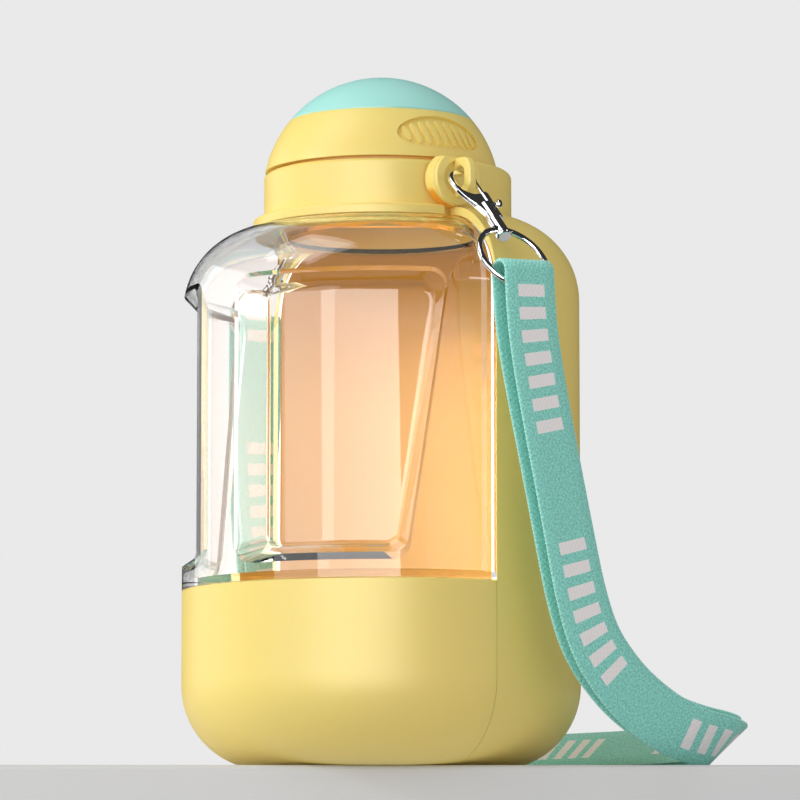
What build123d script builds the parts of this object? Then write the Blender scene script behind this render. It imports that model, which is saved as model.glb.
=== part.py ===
from build123d import *
import math
import os

# A pet travel bottle: clear water tank, food cup below it, ball lid with a press valve,
# and a half shell drinking trough that hinges on the neck and wraps the back of the bottle.
# Millimetres, +Z up, origin at the bottom centre. The tank's open face looks to -Y, the
# closed trough covers +Y, and the trough turns on an axis along X through the lid's centre.

# Body outline
BODY_R = 60.0
CORNER_R = 25.0
SHOULDER_R = 24.5
SHOULDER_TOP = 166.0
CUP_TOP = 53.0
WALL = 2.2
SEAM = 0.3
PIVOT_Z = 174.0

# Trough
TROUGH_WALL = 2.5
TROUGH_GAP = 0.4
TROUGH_LIP_R = 34.0
CUFF_WALL = 2.9
CUFF_TOP = 180.6
CUFF_ROUND = 2.0
EAR_R = 8.35
EAR_PROUD = 0.1
EAR_ROUND = 0.6

# Tank
TANK_WALL = 2.0
TANK_FLOOR = 2.5
NECK_R = 31.5
NECK_BORE = 28.5
NECK_TOP = 180.0
SKIRT_WALL = 2.0
SKIRT_DROP = 8.0
CUP_RIM_DEEP = 11.0
SEAL_WIRE = 1.0

# Grip pockets pressed into both sides of the tank
POCKET_DEEP = 4.4
POCKET_LOW = 63.5
POCKET_HIGH = 138.5
POCKET_SLOPE_LOW = 3.0
POCKET_SLOPE_HIGH = 4.5
POCKET_FRONT_OUT = 10.0
POCKET_FRONT_IN = 19.0
POCKET_REAR_LOW = 60.5
POCKET_REAR_HIGH = 72.3
POCKET_REAR_SLOPE = 3.0
POCKET_CORNER = 6.0
POCKET_EDGE = 2.0
POCKET_REACH = 6.0
POCKET_SPLIT = 40.0

# Neck collar
COLLAR_ROOM = 0.95
COLLAR_FIT = 0.5
COLLAR_TOP = 180.0
COLLAR_EASE = 0.9
FLANGE_R = 38.9
FLANGE_HIGH = 3.0
FLANGE_ROUND = 0.8

# Ball lid
BALL_R = 36.0
BALL_FIT = 0.6
LID_GAP = 0.9
LID_MOUTH_TURN = 38.27
LID_WALL = 2.6
GUIDE_LAND = 0.11
GUIDE_DEEP = 9.3
PLATE = 2.5
PLUG_WALL = 2.6
PLUG_DROP = 9.0
FLOW_HOLE_R = 1.8
FLOW_HOLES = 6
FLOW_PCD_R = 5.8
GRIP_TILT = 24.6
GRIP_LONG = 29.0
GRIP_HIGH = 12.2
GRIP_DEEP = 1.0
GRIP_RIBS = 9
RIB_WIDE = 1.6
RIB_LEAN = 14.0

# Mint press cap and valve
CAP_FIT = 0.3
CAP_WALL = 2.2
CAP_TRAVEL_ROOM = 1.5
SLOT_LEAN = 21.0
SLOT_LONG = 7.0
SLOT_WIDE = 2.4
STEM_R = 1.8
STEM_CLEAR = 2.0
SHAFT_FIT = 0.07
BOSS_R = 4.0
BOSS_LONG = 9.8
VALVE_R = 9.0
VALVE_DISC = 1.3
WASHER = 1.2
SPRING_R = 3.2
SPRING_WIRE = 0.45
SPRING_TURNS = 6

# Pivot pins with strap eyes
PIN_R = 3.0
PIN_BITE = 1.0
LUG_RIM_R = 8.1
LUG_RIM = 1.5
LUG_ROUND = 0.5
DISH_R = 5.25
DISH_DEEP = 1.1
EYE_WIDE = 5.25
EYE_HIGH = 6.6
EYE_BAR = 3.2
EYE_LIMB = 2.6
EYE_THICK = 2.6
EYE_CORNER = 0.36
EYE_ROUND = 0.7

# Strap hook, in its own frame: s down the hook, t towards its bolt
HOOK_PLAY = 1.7
HOOK_RISE = 0.8
ARM_THICK = 1.6
ARM_ROUND = 0.45
ARM_TOP = -0.8
ARM_WIDE = 1.65
ARM_TURN_S = 4.4
ARM_TURN_R = 5.2
ARM_TURN_T = -2.0
ARM_SWEEP_R = 17.35
ARM_END_S = 15.5
TIP_S = 3.75
TIP_WIDE = 1.35
TIP_ROUND = 2.4
BODY_S = 9.5
BODY_DIP = 0.9
BODY_END = 21.6
BARREL_R = 1.95
BARREL_S = 14.5
BARREL_T = 0.3
HOUSING_R = 1.45
BOLT_R = 0.7
BOLT_T = 2.15
BOLT_TOP = 3.85
BOLT_END = 14.6
BOLT_TRAVEL = 3.2
BOLT_BORE_END = 20.4
KNOB_S = 13.6
KNOB_STEM_R = 0.6
KNOB_R = 1.5
KNOB_REACH = 5.6
KNOB_HEAD = 1.3
BOLT_SPRING_WIRE = 0.2
BOLT_SPRING_TURNS = 5
SWIVEL_R = 2.1
SWIVEL_HEAD_R = 2.5
SWIVEL_HEAD = 1.2
SWIVEL_STEM_R = 0.95
SWIVEL_STEM = 2.0
SWIVEL_SKIN = 0.6

# Strap rings
RING_OUT = 8.3
RING_SIDE = 0.4
RING_DROP = 27.4
RING_SLOPE = 55.0
RING_MEAN_R = 11.2
RING_WIRE = 1.0
RING_HOLE = 1.35

# Strap: a flat webbing loop laid double between the two rings.
# Each row is a point of its middle line, the way its width lies, and half the gap
# between the middles of its two layers.
WEB_WIDE = 17.4
WEB_THICK = 1.2
STRAP_ROUTE = [
    ((73.2, 0.3, 141.9), (0.0, 1.0, 0.0), 3.25),
    ((73.4, 0.7, 130.5), (0.0, 1.0, 0.0), 3.1),
    ((73.7, 2.4, 118.2), (0.0, 1.0, 0.04), 2.9),
    ((73.8, 5.3, 104.3), (0.0, 0.99, 0.1), 2.7),
    ((74.0, 8.4, 90.4), (0.0, 0.98, 0.16), 2.6),
    ((73.9, 11.7, 76.6), (0.0, 0.97, 0.2), 2.6),
    ((73.7, 15.1, 62.7), (0.02, 0.96, 0.24), 2.6),
    ((73.3, 18.7, 48.9), (0.05, 0.94, 0.3), 2.6),
    ((72.5, 24.4, 35.2), (0.1, 0.86, 0.45), 2.6),
    ((71.5, 33.8, 25.1), (0.15, 0.76, 0.6), 2.5),
    ((70.6, 42.9, 18.4), (0.2, 0.7, 0.66), 2.3),
    ((69.8, 54.9, 12.2), (0.3, 0.64, 0.68), 2.0),
    ((69.8, 66.0, 9.2), (0.36, 0.6, 0.68), 1.7),
    ((68.0, 77.5, 8.2), (0.3, 0.64, 0.66), 1.4),
    ((58.0, 84.0, 7.6), (0.1, 0.74, 0.645), 1.2),
    ((42.0, 85.6, 7.4), (0.0, 0.766, 0.643), 1.1),
    ((20.0, 86.4, 7.4), (0.0, 0.766, 0.643), 1.1),
    ((-6.0, 86.0, 7.4), (0.0, 0.766, 0.643), 1.1),
    ((-30.0, 82.6, 7.4), (-0.2, 0.74, 0.643), 1.1),
    ((-50.0, 74.0, 7.4), (-0.4, 0.64, 0.65), 1.1),
    ((-65.0, 60.0, 8.0), (-0.6, 0.45, 0.66), 1.2),
    ((-72.4, 42.0, 10.8), (-0.55, 0.4, 0.73), 1.5),
    ((-74.6, 24.0, 19.6), (-0.3, 0.65, 0.69), 1.9),
    ((-75.0, 12.0, 36.2), (-0.08, 0.92, 0.38), 2.4),
    ((-74.6, 5.5, 58.0), (0.0, 0.98, 0.18), 2.7),
    ((-74.2, 2.0, 86.0), (0.0, 1.0, 0.05), 2.9),
    ((-73.9, 0.4, 114.0), (0.0, 1.0, 0.0), 3.1),
    ((-73.2, 0.3, 141.9), (0.0, 1.0, 0.0), 3.25),
]
ARC_SHARE = 0.45
ARC_STEPS = 3
FOLD_STEPS = 8

# Values that follow from the ones above
BODY_AXIS_R = BODY_R - CORNER_R
SHOULDER_AXIS_R = BODY_R - SHOULDER_R
SHOULDER_Z = SHOULDER_TOP - SHOULDER_R
REAR_IN = TROUGH_WALL + TROUGH_GAP
POCKET_R = BODY_R - POCKET_DEEP
SKIRT_R = BODY_R - REAR_IN - WALL - TROUGH_GAP
CUFF_IN = BALL_R + BALL_FIT
EAR_FACE = CUFF_IN + CUFF_WALL + EAR_PROUD
TANK_TOP = SHOULDER_TOP - REAR_IN
FLANGE_TOP = TANK_TOP + FLANGE_HIGH
SWING_R = PIVOT_Z - TROUGH_WALL - TROUGH_GAP
LID_LOW = COLLAR_TOP + LID_GAP
COLLAR_R = CUFF_IN - COLLAR_ROOM
LID_TOP = PIVOT_Z + BALL_R * math.sin(math.radians(LID_MOUTH_TURN))
GUIDE_R = BALL_R * math.cos(math.radians(LID_MOUTH_TURN)) - GUIDE_LAND
GUIDE_LOW = LID_TOP - GUIDE_DEEP
CAP_R = GUIDE_R - CAP_FIT
CAP_LOW = GUIDE_LOW + CAP_TRAVEL_ROOM
BOSS_LOW = PIVOT_Z + BALL_R - CAP_WALL - BOSS_LONG
DISH_FLOOR = EAR_FACE + SEAM / 2 + LUG_RIM - DISH_DEEP
HOOK_TOP = (DISH_FLOOR + EYE_WIDE - HOOK_PLAY, 0.0, PIVOT_Z + HOOK_RISE)
RING_AT = (BODY_R + RING_OUT, RING_SIDE, PIVOT_Z - RING_DROP)
PLUG_R = NECK_BORE - CAP_FIT
TANK_LOW = CUP_TOP + SEAM
FAR = 4 * BODY_R


def half(solid, side, gap=0.0):
    """The part of a solid on one side of the plane Y = side * gap: side 1 keeps +Y, -1 keeps -Y."""
    keep = Pos(0, side * (FAR / 2 + gap), 0) * Box(FAR, FAR, 3 * FAR)
    return solid & keep


def turned(points_and_arcs):
    """A solid of revolution from a closed outline of Edge objects in the XZ plane."""
    return revolve(make_face(points_and_arcs), Axis.Z)


def lathe(*points):
    """A solid of revolution from straight (r, z) corners."""
    return revolve(make_face(Polyline(*[(r, 0, z) for r, z in points], close=True)), Axis.Z)


def arc(centre, radius, start, end):
    """An arc in the XZ plane about (r, z), its angles in degrees up from the +r direction."""
    spots = [
        (centre[0] + radius * math.cos(math.radians(a)), 0, centre[1] + radius * math.sin(math.radians(a)))
        for a in (start, (start + end) / 2, end)
    ]
    return ThreePointArc(*spots)


def line(start, end):
    return Line((start[0], 0, start[1]), (end[0], 0, end[1]))


def drum(inset, low, high, drop=0.0):
    """The body of revolution inset from the bottle's outline, cut at two heights, its
    shoulder lowered by a drop."""
    r = BODY_R - inset
    bottom, top = inset, SHOULDER_TOP - inset - drop
    corner, shoulder = CORNER_R - inset, SHOULDER_R - inset
    outline = [
        line((0, bottom), (BODY_AXIS_R, bottom)),
        arc((BODY_AXIS_R, CORNER_R), corner, -90, 0),
        line((r, CORNER_R), (r, SHOULDER_Z - drop)),
        arc((SHOULDER_AXIS_R, SHOULDER_Z - drop), shoulder, 0, 90),
        line((SHOULDER_AXIS_R, top), (0, top)),
        line((0, top), (0, bottom)),
    ]
    slab = Pos(0, 0, (low + high) / 2) * Box(FAR, FAR, high - low)
    return turned(outline) & slab


def stepped(front_inset, rear_inset, low, high, step=0.0):
    """The bottle's outline with its rear half set in, stepping at Y = step. The front
    shoulder is as low as the rear one, which the trough covers."""
    front = half(drum(front_inset, low, high, REAR_IN), -1, -step)
    rear = half(drum(rear_inset, low, high), 1, step)
    return front + rear


def spot(azimuth, r, z):
    """A point at an azimuth counted from -Y towards +X."""
    a = math.radians(azimuth)
    return Vector(r * math.sin(a), -r * math.cos(a), z)


def beyond(a, b, c, inside, grow):
    """The half space on the far side of the plane through three points, moved out by grow."""
    normal = (b - a).cross(c - a).normalized()
    if normal.dot(inside - a) > 0:
        normal = -normal
    return Plane(origin=a + normal * grow, z_dir=normal) * Pos(0, 0, FAR / 2) * Box(FAR, FAR, FAR)


def pocket(grow):
    """The tool that presses one grip pocket, grown all round by a wall."""
    deep, far = POCKET_R - grow, BODY_R + POCKET_REACH
    step = BODY_R - POCKET_R
    low, high = POCKET_LOW - grow, POCKET_HIGH + grow
    reach = far - deep
    ring = lathe(
        (deep, low),
        (far, low - POCKET_SLOPE_LOW * reach / step),
        (far, high + POCKET_SLOPE_HIGH * reach / step),
        (deep, high),
    )
    middle = spot((POCKET_FRONT_IN + POCKET_REAR_LOW) / 2, POCKET_R, (low + high) / 2)
    front = beyond(
        spot(POCKET_FRONT_IN, POCKET_R, POCKET_LOW),
        spot(POCKET_FRONT_OUT, BODY_R, POCKET_LOW),
        spot(POCKET_FRONT_IN, POCKET_R, POCKET_HIGH),
        middle,
        grow,
    )
    front &= Rot(0, 0, POCKET_SPLIT) * Pos(-FAR / 2, 0, 0) * Box(FAR, FAR, 3 * FAR)
    rear = beyond(
        spot(POCKET_REAR_LOW, POCKET_R, POCKET_LOW),
        spot(POCKET_REAR_LOW + POCKET_REAR_SLOPE, BODY_R, POCKET_LOW),
        spot(POCKET_REAR_HIGH, POCKET_R, POCKET_HIGH),
        middle,
        grow,
    )
    tool = (ring - front - rear).solids().sort_by(lambda one: (one.center() - middle).length)[0]
    tool = fillet([e for e in tool.edges() if on_pocket_corner(e)], POCKET_CORNER + grow / 2)
    floor = [e for e in tool.edges() if abs(math.hypot(e.center().X, e.center().Y) - deep) < POCKET_EDGE / 2]
    return fillet(floor, POCKET_EDGE)


def on_pocket_corner(edge):
    """Whether an edge of the tool runs outwards, between a side wall and an end wall."""
    start, end = edge.start_point(), edge.end_point()
    return abs(math.hypot(start.X, start.Y) - math.hypot(end.X, end.Y)) > POCKET_REACH / 2


def make_tank():
    outer = stepped(0, REAR_IN, TANK_LOW, SHOULDER_TOP)
    room = stepped(
        TANK_WALL, REAR_IN + TANK_WALL, TANK_LOW + TANK_FLOOR, SHOULDER_TOP, step=-TANK_WALL
    )
    pressed, spared = pocket(0), pocket(TANK_WALL)
    outer -= pressed
    outer -= mirror(pressed, about=Plane.YZ)
    room -= spared
    room -= mirror(spared, about=Plane.YZ)
    neck_low = TANK_TOP - TANK_WALL / 2
    neck = Pos(0, 0, (neck_low + NECK_TOP) / 2) * Cylinder(NECK_R, NECK_TOP - neck_low)
    mouth = Pos(0, 0, NECK_TOP) * Cylinder(NECK_BORE, 2 * (NECK_TOP - SHOULDER_Z))
    skirt_low = CUP_TOP - SKIRT_DROP
    skirt = lathe(
        (SKIRT_R - SKIRT_WALL, skirt_low),
        (SKIRT_R, skirt_low),
        (SKIRT_R, TANK_LOW + TANK_FLOOR / 2),
        (SKIRT_R - SKIRT_WALL, TANK_LOW + TANK_FLOOR / 2),
    )
    groove = Pos(0, 0, seal_height()) * Torus(SKIRT_R, SEAL_WIRE)
    return outer + neck + skirt - room - mouth - groove


def seal_height():
    return CUP_TOP - SKIRT_DROP / 2


def make_base_seal():
    """The ring that seals the food cup, drawn squeezed between skirt and cup."""
    ring = Pos(0, 0, seal_height()) * Torus(SKIRT_R, SEAL_WIRE - SHAFT_FIT)
    squeeze = Pos(0, 0, seal_height()) * Cylinder(SKIRT_R + TROUGH_GAP - SHAFT_FIT, CUP_RIM_DEEP)
    return ring & squeeze


def make_base_cup():
    outer = stepped(0, REAR_IN, 0, CUP_TOP)
    swing = Pos(0, 0, PIVOT_Z) * Rot(0, 90, 0) * Cylinder(SWING_R, FAR)
    foot = Pos(0, 0, CORNER_R / 2) * Cylinder(TROUGH_LIP_R - TROUGH_GAP, CORNER_R)
    outer = half(outer, -1) + (half(outer, 1) & (swing + foot))
    foot_flat = Pos(0, 0, REAR_IN) * Cylinder(TROUGH_LIP_R - TROUGH_GAP, 2 * REAR_IN)
    outer += drum(0, 0, 2 * REAR_IN) & foot_flat
    rim_low = CUP_TOP - CUP_RIM_DEEP
    room = stepped(WALL, REAR_IN + WALL, 0, rim_low, step=-WALL)
    inner_swing = Pos(0, 0, PIVOT_Z) * Rot(0, 90, 0) * Cylinder(SWING_R - WALL, FAR)
    room = half(room, -1, WALL) + (half(room, 1, -WALL) & inner_swing)
    room += Pos(0, 0, CUP_TOP) * Cylinder(SKIRT_R + TROUGH_GAP, 2 * CUP_RIM_DEEP)
    return outer - room


def make_trough():
    outer = drum(0, 0, SHOULDER_TOP)
    room = drum(TROUGH_WALL, 0, SHOULDER_TOP)
    lip = Pos(0, 0, 0) * Cylinder(TROUGH_LIP_R, 2 * CORNER_R)
    collar_room = Pos(0, 0, PIVOT_Z) * Cylinder(CUFF_IN, FAR / 2)
    cuff_low, cuff_out = SHOULDER_TOP - TROUGH_WALL, CUFF_IN + CUFF_WALL
    cuff = turned([
        line((CUFF_IN, cuff_low), (cuff_out, cuff_low)),
        line((cuff_out, cuff_low), (cuff_out, CUFF_TOP - CUFF_ROUND)),
        arc((cuff_out - CUFF_ROUND, CUFF_TOP - CUFF_ROUND), CUFF_ROUND, 0, 90),
        line((cuff_out - CUFF_ROUND, CUFF_TOP), (CUFF_IN, CUFF_TOP)),
        line((CUFF_IN, CUFF_TOP), (CUFF_IN, cuff_low)),
    ])
    shell = outer - room - lip - collar_room + cuff
    shell = half(shell, 1, SEAM / 2)
    ear = Pos(0, 0, PIVOT_Z) * Rot(0, 90, 0) * Cylinder(EAR_R, 2 * EAR_FACE)
    ear &= Pos(0, 0, CUFF_TOP - FAR / 2) * Box(FAR, FAR, FAR)
    ear = fillet(ear.edges().filter_by(GeomType.CIRCLE), EAR_ROUND)
    ear -= collar_room
    bore = Pos(0, 0, PIVOT_Z) * Rot(0, 90, 0) * Cylinder(PIN_R + SHAFT_FIT, FAR)
    return shell + ear - bore


def make_collar():
    """The ring round the neck, with a plain flange along the front that stops short of the ears."""
    low = TANK_TOP + SEAM / 2
    ring = lathe(
        (NECK_R + COLLAR_FIT, low),
        (COLLAR_R, low),
        (COLLAR_R, COLLAR_TOP - COLLAR_EASE),
        (COLLAR_R - COLLAR_EASE, COLLAR_TOP),
        (NECK_R + COLLAR_FIT, COLLAR_TOP),
    )
    flange = turned([
        line((NECK_R + COLLAR_FIT, low), (FLANGE_R, low)),
        line((FLANGE_R, low), (FLANGE_R, FLANGE_TOP - FLANGE_ROUND)),
        arc((FLANGE_R - FLANGE_ROUND, FLANGE_TOP - FLANGE_ROUND), FLANGE_ROUND, 0, 90),
        line((FLANGE_R - FLANGE_ROUND, FLANGE_TOP), (NECK_R + COLLAR_FIT, FLANGE_TOP)),
        line((NECK_R + COLLAR_FIT, FLANGE_TOP), (NECK_R + COLLAR_FIT, low)),
    ])
    ear_way = math.sqrt((EAR_R + SEAM) ** 2 - (PIVOT_Z - FLANGE_TOP) ** 2)
    flange = half(flange, -1, ear_way)
    bore = Pos(0, 0, PIVOT_Z) * Rot(0, 90, 0) * Cylinder(PIN_R, FAR)
    return ring + flange - bore


def make_lug():
    """The right pivot pin: shaft, dished rim over the ear, and the eye for a strap hook."""
    face = EAR_FACE + SEAM / 2
    pin_end = NECK_R + COLLAR_FIT + PIN_BITE
    place = Pos(0, 0, PIVOT_Z) * Rot(0, 90, 0)
    shaft = place * Pos(0, 0, (pin_end + face) / 2) * Cylinder(PIN_R - SHAFT_FIT / 2, face - pin_end)
    rim = place * Pos(0, 0, face + LUG_RIM / 2) * Cylinder(LUG_RIM_R, LUG_RIM)
    rim &= Pos(0, 0, CUFF_TOP - SEAM - FAR / 2) * Box(FAR, FAR, FAR)
    rim = fillet(rim.edges().group_by(Axis.X)[-1], LUG_ROUND)
    rim -= place * Pos(0, 0, DISH_FLOOR + LUG_RIM) * Cylinder(DISH_R, 2 * LUG_RIM)
    reach = EYE_WIDE + EYE_BAR
    high = EYE_HIGH + 2 * EYE_LIMB
    plane = Plane(origin=(DISH_FLOOR, 0, PIVOT_Z), x_dir=(1, 0, 0), z_dir=(0, -1, 0))
    outline = Pos((reach - EYE_BAR) / 2, 0) * RectangleRounded(reach + EYE_BAR, high, EYE_CORNER * high)
    keep = Pos(reach / 2, 0) * Rectangle(reach, high)
    hole = Pos(EYE_WIDE / 2, 0) * SlotOverall(EYE_HIGH, EYE_WIDE, rotation=90)
    eye = extrude(plane * ((outline & keep) - hole), EYE_THICK / 2, both=True)
    edges = eye.edges().filter_by(lambda e: abs(abs(e.center().Y) - EYE_THICK / 2) < SEAM / 10
                                  and e.center().X > DISH_FLOOR + SEAM)
    return shaft + rim + fillet(edges, EYE_ROUND)


def lid_plug_profile():
    low = LID_LOW - PLUG_DROP
    return lathe(
        (0, LID_LOW),
        (PLUG_R - PLUG_WALL, LID_LOW),
        (PLUG_R - PLUG_WALL, low),
        (PLUG_R, low),
        (PLUG_R, LID_LOW),
        (plate_seat() - SHAFT_FIT, LID_LOW),
        (plate_seat() - SHAFT_FIT, LID_LOW + PLATE),
        (0, LID_LOW + PLATE),
    )


def ball(z, inset=0.0):
    """The radius of the ball lid's surface at a height."""
    return math.sqrt((BALL_R - inset) ** 2 - (z - PIVOT_Z) ** 2)


def plate_seat():
    """The radius of the straight seat inside the ball's rim that holds the plug's plate."""
    return ball(LID_LOW + PLATE + SEAM, LID_WALL)


def make_lid_plug():
    plug = lid_plug_profile()
    plug -= Pos(0, 0, LID_LOW) * Cylinder(STEM_R + SHAFT_FIT, FAR)
    plug -= Pos(0, 0, LID_LOW) * PolarLocations(FLOW_PCD_R, FLOW_HOLES) * Cylinder(FLOW_HOLE_R, 4 * PLATE)
    return plug - Pos(0, 0, plug_seal_height()) * Torus(PLUG_R, SEAL_WIRE)


def plug_seal_height():
    return LID_LOW - 0.6 * PLUG_DROP


def make_lid_seal():
    ring = Pos(0, 0, plug_seal_height()) * Torus(PLUG_R, SEAL_WIRE - SHAFT_FIT)
    squeeze = Pos(0, 0, plug_seal_height()) * Cylinder(NECK_BORE - SHAFT_FIT, PLUG_DROP)
    return ring & squeeze


def make_neck_gasket():
    """The flat ring under the lid's plate, a hair clear of the neck that it turns on."""
    low = NECK_TOP + SHAFT_FIT
    return lathe((NECK_BORE + SEAM, low), (NECK_R - SEAM, low), (NECK_R - SEAM, LID_LOW), (NECK_BORE + SEAM, LID_LOW))


def sphere_arc(radius, low, high):
    a, b = (math.degrees(math.asin(min(1.0, (z - PIVOT_Z) / radius))) for z in (low, high))
    return arc((0, PIVOT_Z), radius, a, b)


def make_dome_ring():
    inner = BALL_R - LID_WALL
    top, ledge, low = LID_TOP, GUIDE_LOW, LID_LOW
    seat = plate_seat()
    seat_top = low + PLATE + SEAM
    outline = [
        sphere_arc(BALL_R, low, top),
        line((ball(top), top), (GUIDE_R, top)),
        line((GUIDE_R, top), (GUIDE_R, ledge)),
        line((GUIDE_R, ledge), (ball(ledge, LID_WALL), ledge)),
        sphere_arc(inner, seat_top, ledge),
        line((seat, seat_top), (seat, low)),
        line((seat, low), (ball(low), low)),
    ]
    ring = turned(outline)
    for side in (1, -1):
        ring = grip(ring, side)
    return ring


def grip(ring, side):
    """One oval finger grip on the +X or -X side: a shallow recess with slanted lens ribs."""
    tilt = math.radians(GRIP_TILT)
    out = (side * math.cos(tilt), 0, math.sin(tilt))
    plane = Plane(origin=(0, 0, PIVOT_Z), x_dir=(0, side, 0), z_dir=out)
    floor = Pos(0, 0, PIVOT_Z) * Sphere(BALL_R - GRIP_DEEP)
    skin = Pos(0, 0, PIVOT_Z) * Sphere(BALL_R - GRIP_DEEP / 4)
    oval = extrude(plane * Ellipse(GRIP_LONG / 2, GRIP_HIGH / 2), 2 * BALL_R)
    ring -= oval - floor
    pitch = GRIP_LONG / (GRIP_RIBS + 1)
    for k in range(GRIP_RIBS):
        across = (k - (GRIP_RIBS - 1) / 2) * pitch
        tall = 0.72 * GRIP_HIGH * math.sqrt(1 - (2 * across / GRIP_LONG) ** 2)
        place = plane * Pos(across, 0, 0) * Rot(0, 0, RIB_LEAN)
        rib = extrude(place * Ellipse(RIB_WIDE / 2, tall / 2), 2 * BALL_R)
        core = Pos(0, 0, PIVOT_Z) * Sphere(BALL_R - 2 * GRIP_DEEP)
        ring += rib & (skin - core)
    return ring


def make_outlet_cap():
    low, inner = CAP_LOW, BALL_R - CAP_WALL
    edge = PIVOT_Z + math.sqrt(BALL_R**2 - CAP_R**2)
    inner_r = CAP_R - CAP_WALL
    inner_edge = PIVOT_Z + math.sqrt(inner**2 - inner_r**2)
    outline = [
        line((inner_r, low), (CAP_R, low)),
        line((CAP_R, low), (CAP_R, edge)),
        sphere_arc(BALL_R, edge, PIVOT_Z + BALL_R),
        line((0, PIVOT_Z + BALL_R), (0, PIVOT_Z + inner)),
        sphere_arc(inner, inner_edge, PIVOT_Z + inner),
        line((inner_r, inner_edge), (inner_r, low)),
    ]
    cap = turned(outline)
    boss_top = PIVOT_Z + inner + CAP_WALL / 2
    cap += Pos(0, 0, (BOSS_LOW + boss_top) / 2) * Cylinder(BOSS_R, boss_top - BOSS_LOW)
    hole_low = BOSS_LOW - STEM_CLEAR
    cap -= Pos(0, 0, (hole_low + stem_top()) / 2) * Cylinder(STEM_R, stem_top() - hole_low)
    lean = math.radians(SLOT_LEAN)
    plane = Plane(origin=(0, 0, PIVOT_Z), x_dir=(1, 0, 0), z_dir=(0, -math.sin(lean), math.cos(lean)))
    slot = extrude(plane * SlotOverall(SLOT_LONG, SLOT_WIDE), 2 * BALL_R)
    return cap - slot


def stem_top():
    return PIVOT_Z + BALL_R - CAP_WALL - SEAM


def make_valve_stem():
    """The rod from the cap down through the lid plate, with the valve's backing disc."""
    disc_top = LID_LOW - SHAFT_FIT - WASHER
    low = disc_top - VALVE_DISC
    rod = Pos(0, 0, (low + stem_top()) / 2) * Cylinder(STEM_R - SHAFT_FIT / 2, stem_top() - low)
    return rod + Pos(0, 0, disc_top - VALVE_DISC / 2) * Cylinder(VALVE_R - SEAM, VALVE_DISC)


def make_valve_washer():
    top = LID_LOW - SHAFT_FIT
    return Pos(0, 0, top - WASHER / 2) * (Cylinder(VALVE_R, WASHER) - Cylinder(STEM_R, 2 * WASHER))


def coil(radius, wire, turns, low, high):
    """A round wire spring from quarter turns of arc, standing on Z between two heights."""
    rise = high - low - 2 * wire
    quarters = 4 * turns

    def at(share):
        a = 2 * math.pi * turns * share
        return (radius * math.cos(a), radius * math.sin(a), low + wire + rise * share)

    edges = [
        ThreePointArc(at(k / quarters), at((k + 0.5) / quarters), at((k + 1) / quarters))
        for k in range(quarters)
    ]
    path = Wire(edges)
    start = Plane(origin=path @ 0, z_dir=path % 0)
    print(f"spring of radius {radius}: gap between turns {rise / turns - 2 * wire:.2f} mm")
    return sweep(start * Circle(wire), path=path)


def make_return_spring():
    return coil(SPRING_R, SPRING_WIRE, SPRING_TURNS, LID_LOW + PLATE, BOSS_LOW)


def ring_way():
    """The direction in the ring's plane that points out and down, square to Y."""
    a = math.radians(RING_SLOPE)
    return Vector(math.cos(a), 0, -math.sin(a))


def ring_top():
    return Vector(*RING_AT) - ring_way() * RING_MEAN_R


def hook_plane():
    """The hook's own frame: its first axis runs down the hook, its second towards the bolt."""
    top = Vector(*HOOK_TOP)
    down = (ring_top() - top).normalized()
    side = (Vector(0, 1, 0) - down * down.Y).normalized()
    return Plane(origin=top, x_dir=down, z_dir=down.cross(side))


def hook_length():
    return (ring_top() - Vector(*HOOK_TOP)).length


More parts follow.
